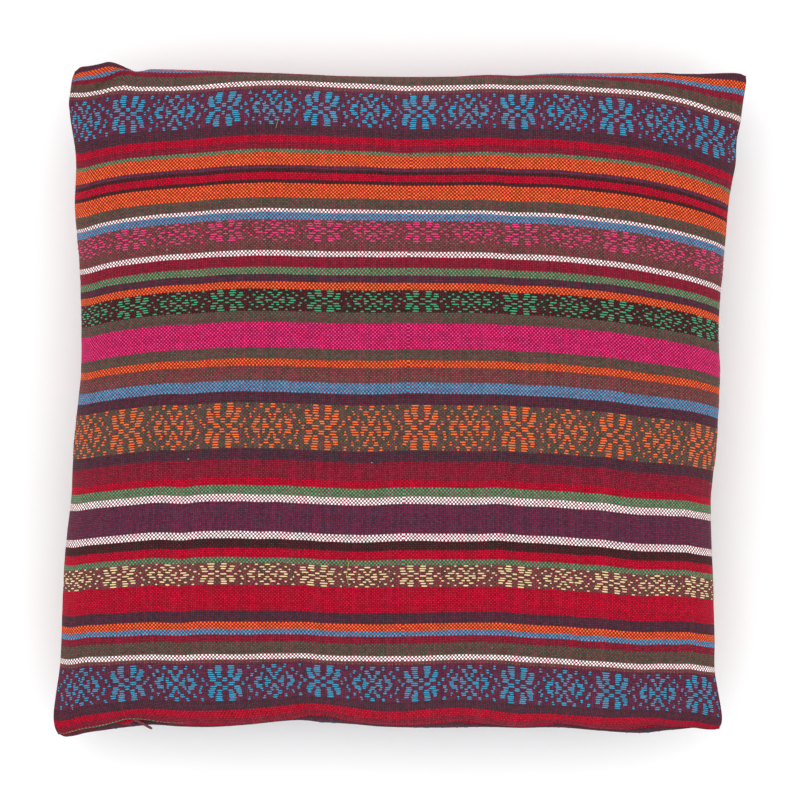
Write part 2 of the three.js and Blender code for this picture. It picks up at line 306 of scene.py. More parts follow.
def ride_up(across, cloth):
    """How much higher the cloth sits than its own length would put it, at a length from the upper seam."""
    total = 0.0
    for row, weights in zip(ride_rows, np.eye(len(ride_rows))):
        total = total + np.interp(cloth, ride_lengths, weights) * row(across)
    return total


def seam_place(across, cloth):
    """Where a length of cloth from the upper corner has got to along the nearer side seam, from 1 to -1."""
    left = 1 - 2 * (cloth - left_slack(cloth)) / LEFT_SEAM
    right = 1 - 2 * (cloth - right_slack(cloth)) / RIGHT_SEAM
    return np.where(across < 0, left, right)


def cover_point(across, up, half_cloth, behind, beside):
    """A point of the filled cover, at places from -1 to 1 across and up one of its faces.
    beside is how far up the same row of cloth meets the side seam."""
    across_along, across_lift = arch(across)
    up_along, up_lift = arch(up)
    if not behind:
        reach = shoulder(half_cloth)
        up_along = np.sign(up) * (1 - shoulder((1 - np.abs(up)) * half_cloth) / reach)
    # Rows near the upper and lower outline keep to it all the way across
    hold = blend(across_lift, 1, np.minimum(np.abs(up), 1) ** EDGE_HOLD)
    spread_x = blend(across, across_along, up_lift)
    spread_y = np.clip(blend(beside, up_along, hold), -1, 1)
    left, right = left_edge(spread_y * HALF), right_edge(spread_y * HALF)
    lean = blend(MIDDLE_LEAN, 1, spread_x ** 2)
    x = spread_x * (right + left) / 2 + lean * (right - left) / 2
    height = (spread_y + 1) / 2
    upper = blend(inner_top(spread_x * HALF), top_edge(spread_x * HALF), height ** CORNER_OUTLINE_REACH)
    y = blend(-bottom_edge(spread_x * HALF), upper, height)
    beyond = np.hypot(1 - np.abs(spread_x), 1 - np.abs(spread_y)) * HALF / CORNER_REACH
    pull = CORNER_ROUND * np.exp(-(beyond ** 2))
    x -= np.sign(spread_x) * pull
    y -= np.sign(spread_y) * pull
    lift = across_lift * up_lift
    low = np.where(across < 0, CORNER_LIFTS[0], CORNER_LIFTS[1])
    high = np.where(across < 0, CORNER_LIFTS[2], CORNER_LIFTS[3])
    corner = np.where(spread_y < 0, low, high)
    level = EQUATOR_HEIGHT + corner * np.abs(across * spread_y) ** CORNER_SHARPNESS
    if behind:
        z = np.maximum(level - BACK_CROWN * lift, 0)
    else:
        z = level + FRONT_CROWN * lift - fold_depth(x, y) * np.clip(lift * FOLD_ONSET + FOLD_AT_EDGE, 0, 1)
    return np.stack(np.broadcast_arrays(x, y, z), -1)


def front_sheet(u, v):
    """Points of the front panel: u from its left seam, v from its upper seam, both along the cloth."""
    across = u / HALF - 1
    top, _, more_lip, front_half, back_half = shared_lengths(across)
    local_top = top_creep(across) - top + tuck(across) * tuck_share(v)
    more_top = local_top * np.exp(-np.maximum(v - TUCK_END, 0) / TOP_REACH)
    beside = seam_place(across, v)
    v = v - more_top - ride_up(across, v) - more_lip * np.exp((v - COVER_SIDE) / LIP_REACH)
    before = cover_point(across, 1 - (v - top) / front_half, front_half, False, beside)
    behind = cover_point(across, 1 - (top - v) / back_half, back_half, True, beside)
    return np.where((v < top)[..., None], behind, before)


def back_sheet(u, v):
    """Points of the back panel: u as on the front, v from its lower seam, which is at the placket."""
    across = u / HALF - 1
    top, lip, more_lip, front_half, back_half = shared_lengths(across)
    # The upper edge follows the front's, so that the two meet along the seam
    more_top = (top_creep(across) - top) * np.exp(-(COVER_SIDE - np.abs(v)) / BACK_TOP_REACH)
    beside = seam_place(across, COVER_SIDE - np.abs(v))
    v = v - more_top - more_lip * np.exp(-np.abs(v) / LIP_REACH)
    dropped = lip_gap(low_x(across)) * np.exp(-np.abs(v) / GAP_REACH)
    v = v + dropped + lip_bunch(low_x(across)) * np.exp(-np.abs(v) / BUNCH_REACH)
    before = cover_point(across, (lip - v) / front_half - 1, front_half, False, beside)
    behind = cover_point(across, (v - lip) / back_half - 1, back_half, True, beside)
    return np.where((v < lip)[..., None], before, behind)


# The two panels

CELLS = 250
EDGE_CROWDING = 0.22


def normals_of(points):
    along_u = np.gradient(points, axis=0)
    along_v = np.gradient(points, axis=1)
    normal = np.cross(along_v, along_u)
    return normal / np.maximum(np.linalg.norm(normal, axis=-1, keepdims=True), 1e-9)


def grid_lines():
    """Distances along a side, crowded towards its ends."""
    even = np.linspace(-1, 1, CELLS + 1)
    return HALF * (1 + even * (1 + EDGE_CROWDING) - even ** 3 * EDGE_CROWDING)


class Panel:
    """A cloth panel as a grid of points over u and v, with its normals."""

    def __init__(self, name, sheet, v_start):
        self.name = name
        self.u = grid_lines()
        self.v = v_start + grid_lines() * (COVER_SIDE - v_start) / COVER_SIDE
        u, v = np.meshgrid(self.u, self.v, indexing="ij")
        self.points = sheet(u, v)
        self.normals = normals_of(self.points)

    def raise_by(self, height, inward=0.0):
        """Moves the cloth along its normals, and level inwards."""
        level = self.normals * (1, 1, 0)
        self.points = self.points + self.normals * height[..., None] - level * np.asarray(inward)[..., None]
        self.normals = normals_of(self.points)

    def at(self, u, v):
        """Points and normals at places on the cloth."""
        i = np.clip(np.searchsorted(self.u, u) - 1, 0, len(self.u) - 2)
        j = np.clip(np.searchsorted(self.v, v) - 1, 0, len(self.v) - 2)
        s = ((u - self.u[i]) / (self.u[i + 1] - self.u[i]))[..., None]
        t = ((v - self.v[j]) / (self.v[j + 1] - self.v[j]))[..., None]

        def read(field):
            near = field[i, j] * (1 - s) + field[i + 1, j] * s
            far = field[i, j + 1] * (1 - s) + field[i + 1, j + 1] * s
            return near * (1 - t) + far * t

        return read(self.points), read(self.normals)


# Seams and lips

# How far the seams are drawn in: (depth, reach). The front laps over the back
FRONT_SEAM = (0.7, 2.0)
BACK_SEAM = (2.6, 6.0)
# Gathers along a seam: (seed, pitch, height), how far in they reach and how far in they start
GATHERS = ((3, 9.0, 0.35), (13, 23.0, 0.5))
GATHER_REACH = 9.0
GATHER_START = 2.0
WAVE_KNOTS = 400
WAVE_START = 50
RIM_DEPTH = 3.5
LIP_THICKNESS = 1.5
TUCK_UNDER = 6.0
TUCK_DIVE = 0.8
PARTING_REACH = 2.5
BUNCH_LIFT = 0.4
# Seams and lips thin out over this length towards the corners, down to these shares at the lip and the rim
CORNER_TAPER = 35.0
LIP_LEAST_TAPER = 0.1
RIM_LEAST_TAPER = 0.08
# The panels are moved apart by this each, the back one less so near the floor, below the second height
SEAM_GAP = 0.15
SEAM_GAP_HEIGHT = 20
# Rows beyond a panel's edge: (distance out along the surface, distance along its normal)
SEAM_RIM = ((-0.2, -RIM_DEPTH),)
LIP_RIM = ((0.55, -0.5), (0.5, -1.1), (-1.0, -LIP_THICKNESS), (-TUCK_UNDER, -LIP_THICKNESS - 0.6))


def wave(seed, along, pitch):
    """Smooth random heights along a line, about one swing to each pitch."""
    knots = np.random.default_rng(seed).uniform(-1, 1, WAVE_KNOTS)
    place = along / pitch + WAVE_START
    i = np.floor(place).astype(int)
    x = place - i
    x = x * x * (3 - 2 * x)
    return knots[i] * (1 - x) + knots[i + 1] * x


def corner_taper(along):
    """Nothing at a corner, all of it a little way along the side."""
    return share_between(np.minimum(along, COVER_SIDE - along), 0, CORNER_TAPER)


def sew(panel, seam, from_seams):
    """Draws the cloth in at its seams, with small gathers beside them."""
    u, v = np.meshgrid(panel.u, panel.v, indexing="ij")
    drawn_in, height = np.zeros_like(u), np.zeros_like(u)
    depth, reach = seam
    for number, (distance, along) in enumerate(from_seams(u, v)):
        drawn_in += depth * np.exp(-((distance / reach) ** 2)) * corner_taper(along)
        gathers = sum(wave(number + seed, along, pitch) * size for seed, pitch, size in GATHERS)
        start = 1 - np.exp(-distance / GATHER_START)
        height += gathers * np.exp(-distance / GATHER_REACH) * start * corner_taper(along)
    panel.raise_by(height, drawn_in)


def tuck_under(panel):
    """Leads the back panel's edge down and under the front lip of the placket."""
    low = low_x(panel.u / HALF - 1)[:, None]
    parting = -lip_parting(low) * np.exp(-np.maximum(panel.v, 0) / PARTING_REACH)
    under = parting + TUCK_DIVE * np.minimum(panel.v, 0)
    under += BUNCH_LIFT * lip_bunch(low) * np.exp(-((panel.v / PARTING_REACH) ** 2))
    panel.raise_by(under * np.maximum(corner_taper(panel.u), LIP_LEAST_TAPER)[:, None])


front = Panel("front_panel", front_sheet, 0.0)
sew(front, FRONT_SEAM, lambda u, v: ((u, v), (COVER_SIDE - u, v), (v, u)))
back = Panel("back_panel", back_sheet, -TUCK_UNDER)
sew(back, BACK_SEAM, lambda u, v: ((u, v), (COVER_SIDE - u, v), (COVER_SIDE - v, u)))
tuck_under(back)
front.points[..., 2] += SEAM_GAP
back.points[..., 2] -= SEAM_GAP * share_between(back.points[..., 2], 0, SEAM_GAP_HEIGHT)


def turned_in(points, depth):
    """The same points moved level towards the middle of the pillow."""
    return points + depth * unit(-points * (1, 1, 0))


def stepped(edge, inner, normal, steps, thin):
    """Rows beyond an edge, by how far out and how far along its normal each lies."""
    outward = unit(edge - inner)
    return [edge + (outward * out + normal * lift) * thin for out, lift in steps]


def rim(panel, low_steps, high_steps):
    """The panel's points with one row turned in at both sides, and rows beyond its lower and higher v."""
    sides = [turned_in(panel.points[:1], RIM_DEPTH), turned_in(panel.points[-1:], RIM_DEPTH)]
    points = np.concatenate([sides[0], panel.points, sides[1]], 0)
    normals = np.concatenate([panel.normals[:1], panel.normals, panel.normals[-1:]], 0)
    u = np.concatenate([[panel.u[0] - RIM_DEPTH], panel.u, [panel.u[-1] + RIM_DEPTH]])
    thin = np.maximum(corner_taper(u), RIM_LEAST_TAPER)[:, None, None]
    low = stepped(points[:, :1], points[:, 2:3], normals[:, :1], low_steps, thin)
    high = stepped(points[:, -1:], points[:, -3:-2], normals[:, -1:], high_steps, thin)
    below = panel.v[0] - np.arange(len(low), 0, -1)
    above = panel.v[-1] + np.arange(1, len(high) + 1)
    return np.concatenate(low[::-1] + [points] + high, 1), u, np.concatenate([below, panel.v, above])


# Meshes

def mesh_object(name, points, quads, uv_maps, material):
    """A smooth mesh object of points in millimetres."""
    mesh = bpy.data.meshes.new(name)
    mesh.vertices.add(len(points))
    mesh.vertices.foreach_set("co", (points * MM).astype(np.float32).ravel())
    mesh.loops.add(quads.size)
    mesh.loops.foreach_set("vertex_index", quads.astype(np.int32).ravel())
    mesh.polygons.add(len(quads))
    mesh.polygons.foreach_set("loop_start", np.arange(0, quads.size, 4, dtype=np.int32))
    for layer_name, coordinates in uv_maps:
        layer = mesh.uv_layers.new(name=layer_name)
        layer.data.foreach_set("uv", coordinates.reshape(-1, 2)[quads.ravel()].astype(np.float32).ravel())
    mesh.update()
    mesh.validate()
    mesh.shade_smooth()
    mesh.materials.append(material)
    made = bpy.data.objects.new(name, mesh)
    bpy.context.scene.collection.objects.link(made)
    return made


def tube(rings, sides, first=0):
    """Numbers of a tube's points by ring, of the points beside them, and its faces."""
    index = first + np.arange(rings * sides).reshape(rings, sides)
    after = np.roll(index, -1, 1)
    return index, after, np.stack([index[:-1], after[:-1], after[1:], index[1:]], -1).reshape(-1, 4)


def paint(piece, colours):
    """Gives each point of a piece its own yarn colour."""
    layer = piece.data.color_attributes.new("Yarn", "FLOAT_COLOR", "POINT")
    layer.data.foreach_set("color", colours.astype(np.float32).ravel())


# The weave

# One flower of each kind, side by side, takes up this many ends and this much cloth
FLOWER_ENDS = 54
FLOWER_REPEAT = 62.7
PICK_PITCH = COVER_SIDE / 385
END_PITCH = FLOWER_REPEAT / FLOWER_ENDS
# The end at which the weave changes step
FLAW_END = 198.5
# The pick of the repeat that lies at the back panel's lower seam
BACK_FIRST_PICK = 378.6

# Yarn colours, sRGB, and how much of the warp shows between the picks, from 0 to 1
YARNS = {
    "navy": (54, 52, 62, 0.4), "orange": (241, 103, 38, 1), "blue": (30, 160, 200, 1),
    "dark red": (125, 36, 49, 1), "olive": (50, 95, 75, 0.85), "white": (255, 252, 250, 1),
    "brown": (89, 85, 74, 1), "purple": (59, 55, 76, 0.8), "red": (194, 6, 37, 1),
    "green": (54, 156, 110, 1), "black": (38, 40, 36, 0.3), "pink": (224, 46, 119, 1),
    "beige": (236, 214, 160, 1),
}
WARP = (142, 12, 46)
FLECK = (226, 206, 196)
# One repeat of the weft, from just below the upper seam: (yarn, picks)
STRIPES = (
    ("navy", 6), ("orange", 4), ("blue", 3), ("dark red", 4), ("olive", 7), ("white", 3), ("brown", 2),
    ("purple", 23), ("navy", 6), ("red", 4), ("dark red", 4), ("green", 2), ("orange", 7), ("purple", 2),
    ("black", 2), ("red", 4), ("black", 2), ("orange", 8), ("olive", 6), ("white", 2), ("blue", 4),
    ("brown", 17), ("white", 3), ("dark red", 6), ("green", 4), ("navy", 4), ("orange", 4), ("black", 12),
    ("olive", 6), ("pink", 14), ("olive", 6), ("orange", 4), ("brown", 8), ("blue", 6), ("navy", 6),
    ("olive", 25), ("navy", 6), ("dark red", 10), ("red", 4), ("green", 5), ("white", 4), ("purple", 16),
    ("white", 4), ("black", 5), ("red", 5), ("green", 3), ("brown", 12), ("red", 14),
)
REPEAT_PICKS = sum(picks for _, picks in STRIPES)
HALF_REPEAT = REPEAT_PICKS // 2
# A pick is read this far short of the next, as stripes change in steps
PICK_READ = 0.2

# How far picks and ends wander, in threads, and how fast along and across them
PICK_WANDER = 0.35
END_WANDER = 0.3
WANDER_ALONG = 0.05
WANDER_ACROSS = 0.3
# Where the weave rises through these the weft covers the warp, sooner by the spread in dense cloth
WEFT_EDGE = (-0.28, -0.02)
DENSE_SPREAD = 0.45
# Brightness, low and high: of picks, ends, crossings, the painted shade in the groove beside a thread up to
# the painted highlight on its crown, and the painted shade on warp that lies deep
WEFT_LIGHT = (0.92, 1.08)
WARP_LIGHT = (0.75, 1.25)
CROSSING_LIGHT = (0.78, 1.22)
GROOVE_PAINTED_SHADE_AND_HIGHLIGHT = (0.36, 1.15)
DEEP_WARP_PAINTED_SHADE = (0.5, 1.0)
GROOVE_END = 0.7
SLOW_LIGHT = 0.12
# Pale flecks: how close together, how large, how many places have none, and how pale
FLECK_SCALE = (0.06, 0.08)
FLECK_RADIUS = 0.026
FLECK_ABSENCE = 0.72
FLECK_STRENGTH = 0.5


def linear(colour):
    """An sRGB colour of 0 to 255 as linear RGBA."""
    share = np.array(colour[:3], float) / 255
    flat = np.where(share <= 0.04045, share / 12.92, ((share + 0.055) / 1.055) ** 2.4)
    return (*flat, 1.0)


class Graph:
    """Short ways to make and join shader nodes."""

    def __init__(self, name):
        self.material = bpy.data.materials.new(name)
        self.material.use_nodes = True
        self.tree = self.material.node_tree
        self.shader = self.tree.nodes["Principled BSDF"]

    def put(self, socket, value):
        if isinstance(value, bpy.types.NodeSocket):
            self.tree.links.new(value, socket)
        else:
            socket.default_value = value

    def surface(self, inputs):
        """Sets or joins inputs of the material's shader."""
        for key, value in inputs.items():
            self.put(self.shader.inputs[key], value)

    def node(self, kind, inputs=(), **settings):
        made = self.tree.nodes.new(kind)
        for key, value in settings.items():
            setattr(made, key, value)
        for key, value in dict(inputs).items():
            self.put(made.inputs[key], value)
        return made

    def math(self, operation, a, b=0.0, c=0.0):
        return self.node("ShaderNodeMath", {0: a, 1: b, 2: c}, operation=operation).outputs[0]

    def map_places(self, name):
        """The two coordinates of one of the piece's maps."""
        place = self.node("ShaderNodeUVMap", uv_map=name).outputs[0]
        split = self.node("ShaderNodeSeparateXYZ", {0: place})
        return split.outputs[0], split.outputs[1]

    def scaled(self, u, v, scale_u, scale_v, seed=0.0):
        """Two coordinates as a vector, stretched."""
        x = self.math("MULTIPLY_ADD", u, scale_u, seed)
        y = self.math("MULTIPLY_ADD", v, scale_v, seed * 1.7)
        return self.node("ShaderNodeCombineXYZ", {0: x, 1: y, 2: seed}).outputs[0]

    def noise(self, vector, detail=1.0):
        """Smooth noise from -1 to 1."""
        inputs = {"Vector": vector, "Scale": 1.0, "Detail": detail, "Roughness": 0.5}
        return self.math("MULTIPLY_ADD", self.node("ShaderNodeTexNoise", inputs).outputs["Fac"], 2.0, -1.0)

    def grain(self, scale, detail):
        """Smooth noise from 0 to 1 over the object's own places."""
        place = self.node("ShaderNodeTexCoord").outputs["Object"]
        inputs = {"Vector": place, "Scale": scale, "Detail": detail}
        return self.node("ShaderNodeTexNoise", inputs).outputs["Fac"]

    def white_noise(self, value):
        """A random number from 0 to 1 for each value."""
        return self.node("ShaderNodeTexWhiteNoise", {"W": value}, noise_dimensions="1D").outputs["Value"]

    def varied(self, share, low, high):
        """A number from low to high, by another from 0 to 1."""
        return self.math("MULTIPLY_ADD", share, high - low, low)

    def ramp(self, factor, stops):
        """The colour and the alpha of the stop that the factor has reached."""
        made = self.node("ShaderNodeValToRGB", {"Fac": factor})
        ramp = made.color_ramp
        ramp.interpolation = "CONSTANT"
        while len(ramp.elements) > 1:
            ramp.elements.remove(ramp.elements[-1])
        for i, (place, colour) in enumerate(stops):
            stop = ramp.elements[0] if i == 0 else ramp.elements.new(place)
            stop.position = place
            stop.color = (*linear(colour)[:3], colour[3])
        return made.outputs["Color"], made.outputs["Alpha"]

    def mix(self, factor, a, b, mode="MIX"):
        made = self.node("ShaderNodeMix", data_type="RGBA", blend_type=mode)
        sockets = {s.identifier: s for s in made.inputs}
        self.put(sockets["Factor_Float"], factor)
        self.put(sockets["A_Color"], a)
        self.put(sockets["B_Color"], b)
        return next(s for s in made.outputs if s.identifier == "Result_Color")

    def grey(self, light):
        return self.node("ShaderNodeCombineColor", {0: light, 1: light, 2: light}).outputs[0]

    def tinted(self, colour, light):
        return self.mix(1.0, colour, self.grey(light), "MULTIPLY")

    def between(self, value, low, high, to_low=0.0, to_high=1.0):
        """value eased from low..high to to_low..to_high."""
        inputs = {"Value": value, "From Min": low, "From Max": high, "To Min": to_low, "To Max": to_high}
        return self.node("ShaderNodeMapRange", inputs, interpolation_type="SMOOTHSTEP").outputs["Result"]

    def bump(self, height, strength, distance):
        inputs = {"Height": height, "Strength": strength, "Distance": distance}
        self.surface({"Normal": self.node("ShaderNodeBump", inputs).outputs["Normal"]})


def half_stops(first_pick):
    """Colour ramp stops for half of the repeat, as one ramp can't hold them all."""
    stops, start = [], 0
    for yarn, picks in STRIPES:
        if start + picks > first_pick and start < first_pick + HALF_REPEAT:
            stops.append((max(start - first_pick, 0) / HALF_REPEAT, YARNS[yarn]))
        start += picks
    return stops


def stripe_yarn(graph, pick):
    """The yarn of a pick, by where it falls in the repeat: its colour and how much warp shows beside it."""
    place = graph.math("MULTIPLY_ADD", pick, 1 / REPEAT_PICKS, -PICK_READ / REPEAT_PICKS)
    place = graph.math("FRACT", place)
    half_place = graph.math("FRACT", graph.math("MULTIPLY", place, 2.0))
    first_colour, first_openness = graph.ramp(half_place, half_stops(0))
    second_colour, second_openness = graph.ramp(half_place, half_stops(HALF_REPEAT))
    later = graph.math("GREATER_THAN", place, 0.5)
    colour = graph.mix(later, first_colour, second_colour)
    change = graph.math("SUBTRACT", second_openness, first_openness)
    return colour, graph.math("MULTIPLY_ADD", change, later, first_openness)


def flecks(graph, u, v):
    """Where pale flecks of fibre are caught in the yarn."""
    inputs = {"Vector": graph.scaled(u, v, *FLECK_SCALE, seed=5.0), "Scale": 1.0}
    cells = graph.node("ShaderNodeTexVoronoi", inputs)
    chance = graph.node("ShaderNodeSeparateColor", {0: cells.outputs["Color"]}).outputs[0]
    near = graph.math("LESS_THAN", cells.outputs["Distance"], FLECK_RADIUS)
    there = graph.math("MULTIPLY", near, graph.math("GREATER_THAN", chance, FLECK_ABSENCE))
    return graph.math("MULTIPLY", there, FLECK_STRENGTH)


def cloth_material():
    graph = Graph("handwoven_cotton")
    u, v = graph.map_places("Cloth")
    # Threads wander a little, picks along their length and ends along theirs
    wander = graph.noise(graph.scaled(u, v, WANDER_ALONG, WANDER_ACROSS, seed=3.1))
    pick = graph.math("MULTIPLY_ADD", wander, PICK_WANDER, v)
    wander = graph.noise(graph.scaled(u, v, WANDER_ACROSS, WANDER_ALONG, seed=7.7))
    end = graph.math("MULTIPLY_ADD", wander, END_WANDER, u)
    # Two ends lie side by side at the flaw
    end = graph.math("ADD", end, graph.math("GREATER_THAN", end, FLAW_END))
    across = graph.math("COSINE", graph.math("MULTIPLY", end, np.pi))
    along = graph.math("COSINE", graph.math("MULTIPLY", pick, np.pi))
    weave = graph.math("MULTIPLY", across, along)
    rise = graph.math("ABSOLUTE", weave)
    pick_number, end_number = graph.math("ROUND", pick), graph.math("ROUND", end)
    weft, openness = stripe_yarn(graph, pick_number)
    spread = graph.math("MULTIPLY_ADD", openness, -DENSE_SPREAD, DENSE_SPREAD)
    over = graph.between(graph.math("ADD", weave, spread), *WEFT_EDGE)
    slow = graph.noise(graph.scaled(u, pick_number, 0.06, 0.9, seed=1.3), detail=2.0)
    weft_light = graph.varied(graph.white_noise(pick_number), *WEFT_LIGHT)
    weft_light = graph.math("MULTIPLY_ADD", slow, SLOW_LIGHT, weft_light)
    # The less of it shows, the deeper the warp lies, and the darker the painted shade on it
    warp_tone_and_painted_shade = graph.varied(graph.white_noise(end_number), *WARP_LIGHT)
    warp_tone_and_painted_shade = graph.math("MULTIPLY", warp_tone_and_painted_shade, graph.varied(openness, *DEEP_WARP_PAINTED_SHADE))
    # The warp's colour carries its random tone and the painted shade of deep warp
    colour = graph.mix(over, graph.tinted(linear(WARP), warp_tone_and_painted_shade), graph.tinted(weft, weft_light))
    crossing = graph.node("ShaderNodeCombineXYZ", {0: end_number, 1: pick_number}).outputs[0]
    chance = graph.node("ShaderNodeTexWhiteNoise", {"Vector": crossing}, noise_dimensions="2D")
    crossing_light = graph.varied(chance.outputs["Value"], *CROSSING_LIGHT)
    # Painted shade in the groove beside each thread and painted highlight on its crown, multiplied into the
    # colour
    painted_groove_shade_and_highlight = graph.between(rise, 0.0, GROOVE_END, *GROOVE_PAINTED_SHADE_AND_HIGHLIGHT)
    colour = graph.tinted(colour, graph.math("MULTIPLY", painted_groove_shade_and_highlight, crossing_light))
    colour = graph.mix(flecks(graph, u, v), colour, linear(FLECK))
    fibre = graph.noise(graph.scaled(u, v, 1.9, 2.3, seed=9.0), detail=2.0)
    height = graph.math("MULTIPLY_ADD", fibre, 0.25, graph.math("POWER", rise, 0.6))
    graph.bump(height, 0.55, 0.0004)
    graph.surface({
        "Base Color": colour, "Roughness": graph.math("MULTIPLY_ADD", fibre, 0.05, 0.88),
        "Specular IOR Level": 0.1, "Sheen Weight": 0.03, "Sheen Roughness": 0.5,
    })
    return graph.material


CLOTH = cloth_material()

# Dressing the panels

BAKE_MARGIN = 0.004
# At the front's lip the stripes shift by this many picks left and right of the pull, changing over between
# two distances across and coming in between two distances down
LIP_SHIFTS = (-0.6, 1)
LIP_SHIFT_ACROSS = (85, 100)
LIP_SHIFT_DOWN = (442, 450)


def bake_map(u, v):
    """The panel laid flat in a unit square, as its own map."""
    flat = [BAKE_MARGIN + (1 - 2 * BAKE_MARGIN) * (w - w[0]) / (w[-1] - w[0]) for w in (u, v)]
    return np.stack(np.meshgrid(*flat, indexing="ij"), -1)


def front_pick(u, v):
    shift = blend(*LIP_SHIFTS, share_between(u, *LIP_SHIFT_ACROSS)) * share_between(v, *LIP_SHIFT_DOWN)
    return v / PICK_PITCH - 0.5 - shift


def back_pick(u, v):
    return BACK_FIRST_PICK - v / PICK_PITCH


def dress_panel(panel, low_steps, high_steps, pick_of):
    rows, u, v = rim(panel, low_steps, high_steps)
    cloth_u, cloth_v = np.meshgrid(u, v, indexing="ij")
    cloth = np.stack([cloth_u / END_PITCH, pick_of(cloth_u, cloth_v)], -1)
    index = np.arange(cloth_u.size).reshape(cloth_u.shape)
    corners = (index[:-1, :-1], index[:-1, 1:], index[1:, 1:], index[1:, :-1])
    quads = np.stack(corners, -1).reshape(-1, 4)
    maps = [("Cloth", cloth), ("OFBake", bake_map(u, v))]
    piece = mesh_object(panel.name, rows.reshape(-1, 3), quads, maps, CLOTH)
    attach(piece, "root")
    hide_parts("cushion")


dress_panel(front, SEAM_RIM, LIP_RIM, front_pick)
dress_panel(back, (), SEAM_RIM, back_pick)

# Raised flowers

# One half of a flower row over 28 ends, from the middle of one kind of flower to the middle of the other
FLOWER_ROWS = (
    "..####.......#.......#....##",
    "..####.###.......#.....###..",
    "..###.####.....#....#....##.",
    "##...####...#....####.##..##",
    "..####....#.....###...####..",
    "##...####....#...####.##..##",
    "..###.####....#.....#....##.",
    "..####.###.......#.....###..",
    "..####.......#.......#....##",
)
# The middle of a flower of the first kind lies this far right of the cloth's middle
FLOWER_CENTRE = 14
FIRST_FLOWER = (HALF + FLOWER_CENTRE) / END_PITCH
# Flower bands: (first pick, picks, times each row is woven, yarn, shift in ends)
BANDS = (
    (31, 22, 2, "blue", -2.6), (106, 12, 1, "pink", 0.4), (144, 12, 1, "green", 0.2),
    (206, 25, 2, "orange", -0.3), (293, 12, 1, "beige", 0.3), (349, 22, 2, "blue", 3.0),
)
# Along a float: (place, lift, share of its width), and across it: (place, share of its lift)
FLOAT_STATIONS = ((0, -0.1, 0.55), (0.16, 0.34, 0.95), (0.5, 0.46, 1), (0.84, 0.34, 0.95), (1, -0.1, 0.55))
FLOAT_SIDES = ((-0.5, 0.0), (-0.3, 0.85), (0.3, 0.85), (0.5, 0.0))
# How far its sides sink into the cloth
FLOAT_SINK = -0.15
FLOAT_WIDTH = 0.92
# How far a float reaches past its outer ends, in ends: more where it covers a single one
FLOAT_REACH = 0.4
SINGLE_REACH = 0.72
# What varies from float to float: its tips in ends, its row, its width and its brightness
TIP_SPREAD = 0.25
ROW_SPREAD = 0.1
WIDTH_RANGE = (0.9, 1.1)
LIGHT_RANGE = (0.88, 1.12)
# Floats end this far inside the side seams
SEAM_CLEARANCE = 1.0
# Each float has a cell of its own in the bake map: rows to a column, and how much of a cell it fills
CELL_ROWS = 3
CELL_FILL = 0.8
# How bright the flower yarn is beside the same yarn in the cloth
FLOAT_LIGHT = {"blue": 0.86, "pink": 0.98, "green": 1.0, "orange": 1.02, "beige": 0.95}


def flower_floats():
    """Every float of the flower bands over one panel: first end, last end, pick, yarn."""
    found = []
    ends = np.arange(0, int(COVER_SIDE / END_PITCH) + 1)
    for first_pick, picks, times, yarn, shift in BANDS:
        rows = [row for row in FLOWER_ROWS for _ in range(times)]
        turned = np.mod(ends - FIRST_FLOWER - shift + FLOWER_ENDS / 2, FLOWER_ENDS) - FLOWER_ENDS / 2
        for k, row in enumerate(rows):
            pick = first_pick + (k + 0.5) * picks / len(rows) - 0.5
            place = np.clip(np.round(np.abs(turned)).astype(int), 0, len(row) - 1)
            on = np.array([row[i] == "#" for i in place])
            edges = np.flatnonzero(np.diff(np.concatenate([[0], on.astype(int), [0]])))
            for start, stop in edges.reshape(-1, 2):
                reach = SINGLE_REACH if stop - start == 1 else FLOAT_REACH
                found.append((start - reach, stop - 1 + reach, pick, yarn))
    return found


def yarn_material():
    graph = Graph("flower_yarn")
    tone = graph.node("ShaderNodeAttribute", attribute_name="Yarn").outputs["Color"]
    u, v = graph.map_places("Cloth")
    strands = graph.noise(graph.scaled(u, v, 0.7, 9.0, seed=2.0), detail=2.0)
    graph.bump(strands, 0.4, 0.0002)
    graph.surface({
        "Base Color": graph.tinted(tone, graph.math("MULTIPLY_ADD", strands, 0.16, 1.0)),
        "Roughness": graph.math("MULTIPLY_ADD", strands, 0.06, 0.74),
        "Specular IOR Level": 0.35, "Sheen Weight": 0.08,
    })
    return graph.material


FLOWER_YARN = yarn_material()


def float_bake_map(count, stations, sides):
    """The floats laid flat in cells of a unit square."""
    columns = int(np.ceil(np.sqrt(count / CELL_ROWS)))
    row, column = np.divmod(np.arange(count)[:, None, None], columns)
    cell_u = (column + 0.5 + CELL_FILL * (stations[:, None] - 0.5) + 0 * sides) / columns
    cell_v = (row + 0.5 + CELL_FILL * sides + 0 * stations[:, None]) / np.ceil(count / columns)
    return np.stack([cell_u, cell_v], -1)


